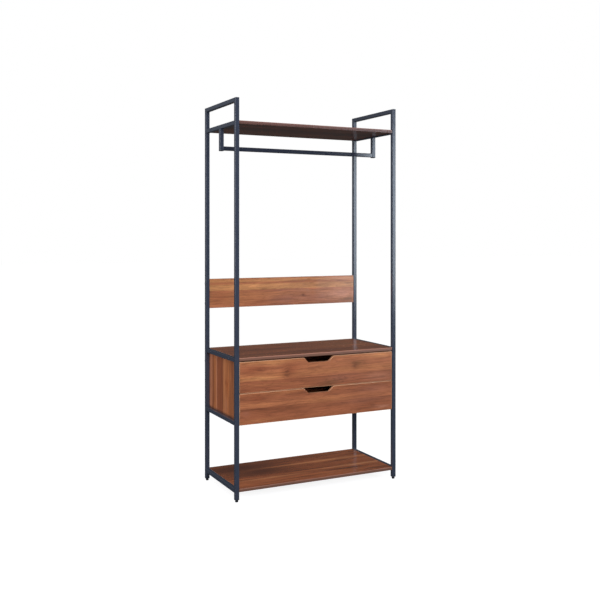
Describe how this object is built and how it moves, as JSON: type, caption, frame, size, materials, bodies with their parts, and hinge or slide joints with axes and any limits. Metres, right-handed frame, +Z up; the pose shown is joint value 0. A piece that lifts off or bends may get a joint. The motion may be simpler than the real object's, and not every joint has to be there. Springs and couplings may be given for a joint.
{
  "type": "hall tree wardrobe stand",
  "caption": "Open hall tree: square steel tube side frames, top shelf over a clothes rod, back board, drawer unit with finger notches, and a base shelf on levelling feet.",
  "frame": {"origin": "middle of the footprint, on the floor", "axes": "+Z up; +X to the right seen from the front; the drawers open towards -Y"},
  "size_m": [0.85, 0.4, 1.82],
  "materials": {
    "powder_coat": "satin dark blue-grey powder coat",
    "walnut": "satin walnut-pattern laminate on particle board, with lighter edge banding",
    "hardboard": "bare brown hardboard, smooth face and sieve-marked back",
    "runner_steel": "dark epoxy-coated pressed steel",
    "nylon": "white nylon",
    "black_plastic": "black moulded plastic"
  },
  "bodies": {
    "root": {"left_front_post": "powder_coat", "left_rear_post": "powder_coat", "left_top_rail": "powder_coat", "left_shelf_rail": "powder_coat", "left_unit_top_rail": "powder_coat", "left_unit_bottom_rail": "powder_coat", "left_base_rail": "powder_coat", "left_rod_drop": "powder_coat", "right_front_post": "powder_coat", "right_rear_post": "powder_coat", "right_top_rail": "powder_coat", "right_shelf_rail": "powder_coat", "right_unit_top_rail": "powder_coat", "right_unit_bottom_rail": "powder_coat", "right_base_rail": "powder_coat", "right_rod_drop": "powder_coat", "hanging_rod": "powder_coat", "top_shelf": "walnut", "back_board": "walnut", "unit_top_panel": "walnut", "unit_left_side": "walnut", "unit_right_side": "walnut", "unit_bottom_panel": "walnut", "unit_back_panel": "hardboard", "base_shelf": "walnut", "left_front_foot_insert": "black_plastic", "left_rear_foot_insert": "black_plastic", "right_front_foot_insert": "black_plastic", "right_rear_foot_insert": "black_plastic", "lower_left_cabinet_runner": "runner_steel", "lower_right_cabinet_runner": "runner_steel", "upper_left_cabinet_runner": "runner_steel", "upper_right_cabinet_runner": "runner_steel"},
    "lower_drawer": {"lower_drawer_front": "walnut", "lower_drawer_left_side": "walnut", "lower_drawer_right_side": "walnut", "lower_drawer_back": "walnut", "lower_drawer_bottom": "hardboard", "lower_left_drawer_runner": "runner_steel", "lower_right_drawer_runner": "runner_steel"},
    "upper_drawer": {"upper_drawer_front": "walnut", "upper_drawer_left_side": "walnut", "upper_drawer_right_side": "walnut", "upper_drawer_back": "walnut", "upper_drawer_bottom": "hardboard", "upper_left_drawer_runner": "runner_steel", "upper_right_drawer_runner": "runner_steel"},
    "left_front_foot": {"left_front_foot": "black_plastic"},
    "left_rear_foot": {"left_rear_foot": "black_plastic"},
    "right_front_foot": {"right_front_foot": "black_plastic"},
    "right_rear_foot": {"right_rear_foot": "black_plastic"},
    "lower_left_cabinet_roller": {"lower_left_cabinet_roller": "nylon"},
    "lower_left_drawer_roller": {"lower_left_drawer_roller": "nylon"},
    "lower_right_cabinet_roller": {"lower_right_cabinet_roller": "nylon"},
    "lower_right_drawer_roller": {"lower_right_drawer_roller": "nylon"},
    "upper_left_cabinet_roller": {"upper_left_cabinet_roller": "nylon"},
    "upper_left_drawer_roller": {"upper_left_drawer_roller": "nylon"},
    "upper_right_cabinet_roller": {"upper_right_cabinet_roller": "nylon"},
    "upper_right_drawer_roller": {"upper_right_drawer_roller": "nylon"}
  },
  "joints": [
    {"name": "lower_drawer_slide", "type": "slide", "parent": "root", "child": "lower_drawer", "axis": [0, -1, 0], "range_m": [0, 0.26]},
    {"name": "upper_drawer_slide", "type": "slide", "parent": "root", "child": "upper_drawer", "axis": [0, -1, 0], "range_m": [0, 0.26]},
    {"name": "left_front_foot_screw", "type": "slide", "parent": "root", "child": "left_front_foot", "axis": [0, 0, -1], "range_m": [0, 0.01]},
    {"name": "left_rear_foot_screw", "type": "slide", "parent": "root", "child": "left_rear_foot", "axis": [0, 0, -1], "range_m": [0, 0.01]},
    {"name": "right_front_foot_screw", "type": "slide", "parent": "root", "child": "right_front_foot", "axis": [0, 0, -1], "range_m": [0, 0.01]},
    {"name": "right_rear_foot_screw", "type": "slide", "parent": "root", "child": "right_rear_foot", "axis": [0, 0, -1], "range_m": [0, 0.01]},
    {"name": "lower_left_cabinet_roller_spin", "type": "hinge", "parent": "root", "child": "lower_left_cabinet_roller", "pos_m": [-0.386, -0.168, 0.37285], "axis": [1, 0, 0], "continuous": true},
    {"name": "lower_left_drawer_roller_spin", "type": "hinge", "parent": "lower_drawer", "child": "lower_left_drawer_roller", "pos_m": [-0.38525, 0.156, 0.37285], "axis": [1, 0, 0], "continuous": true},
    {"name": "lower_right_cabinet_roller_spin", "type": "hinge", "parent": "root", "child": "lower_right_cabinet_roller", "pos_m": [0.386, -0.168, 0.37285], "axis": [1, 0, 0], "continuous": true},
    {"name": "lower_right_drawer_roller_spin", "type": "hinge", "parent": "lower_drawer", "child": "lower_right_drawer_roller", "pos_m": [0.38525, 0.156, 0.37285], "axis": [1, 0, 0], "continuous": true},
    {"name": "upper_left_cabinet_roller_spin", "type": "hinge", "parent": "root", "child": "upper_left_cabinet_roller", "pos_m": [-0.386, -0.168, 0.51635], "axis": [1, 0, 0], "continuous": true},
    {"name": "upper_left_drawer_roller_spin", "type": "hinge", "parent": "upper_drawer", "child": "upper_left_drawer_roller", "pos_m": [-0.38525, 0.156, 0.51635], "axis": [1, 0, 0], "continuous": true},
    {"name": "upper_right_cabinet_roller_spin", "type": "hinge", "parent": "root", "child": "upper_right_cabinet_roller", "pos_m": [0.386, -0.168, 0.51635], "axis": [1, 0, 0], "continuous": true},
    {"name": "upper_right_drawer_roller_spin", "type": "hinge", "parent": "upper_drawer", "child": "upper_right_drawer_roller", "pos_m": [0.38525, 0.156, 0.51635], "axis": [1, 0, 0], "continuous": true}
  ],
  "couplings": [
    {"joint": "lower_left_cabinet_roller_spin", "follows": "lower_drawer_slide", "rad_per_m": 117.65},
    {"joint": "lower_left_drawer_roller_spin", "follows": "lower_drawer_slide", "rad_per_m": 117.65},
    {"joint": "lower_right_cabinet_roller_spin", "follows": "lower_drawer_slide", "rad_per_m": 117.65},
    {"joint": "lower_right_drawer_roller_spin", "follows": "lower_drawer_slide", "rad_per_m": 117.65},
    {"joint": "upper_left_cabinet_roller_spin", "follows": "upper_drawer_slide", "rad_per_m": 117.65},
    {"joint": "upper_left_drawer_roller_spin", "follows": "upper_drawer_slide", "rad_per_m": 117.65},
    {"joint": "upper_right_cabinet_roller_spin", "follows": "upper_drawer_slide", "rad_per_m": 117.65},
    {"joint": "upper_right_drawer_roller_spin", "follows": "upper_drawer_slide", "rad_per_m": 117.65}
  ]
}
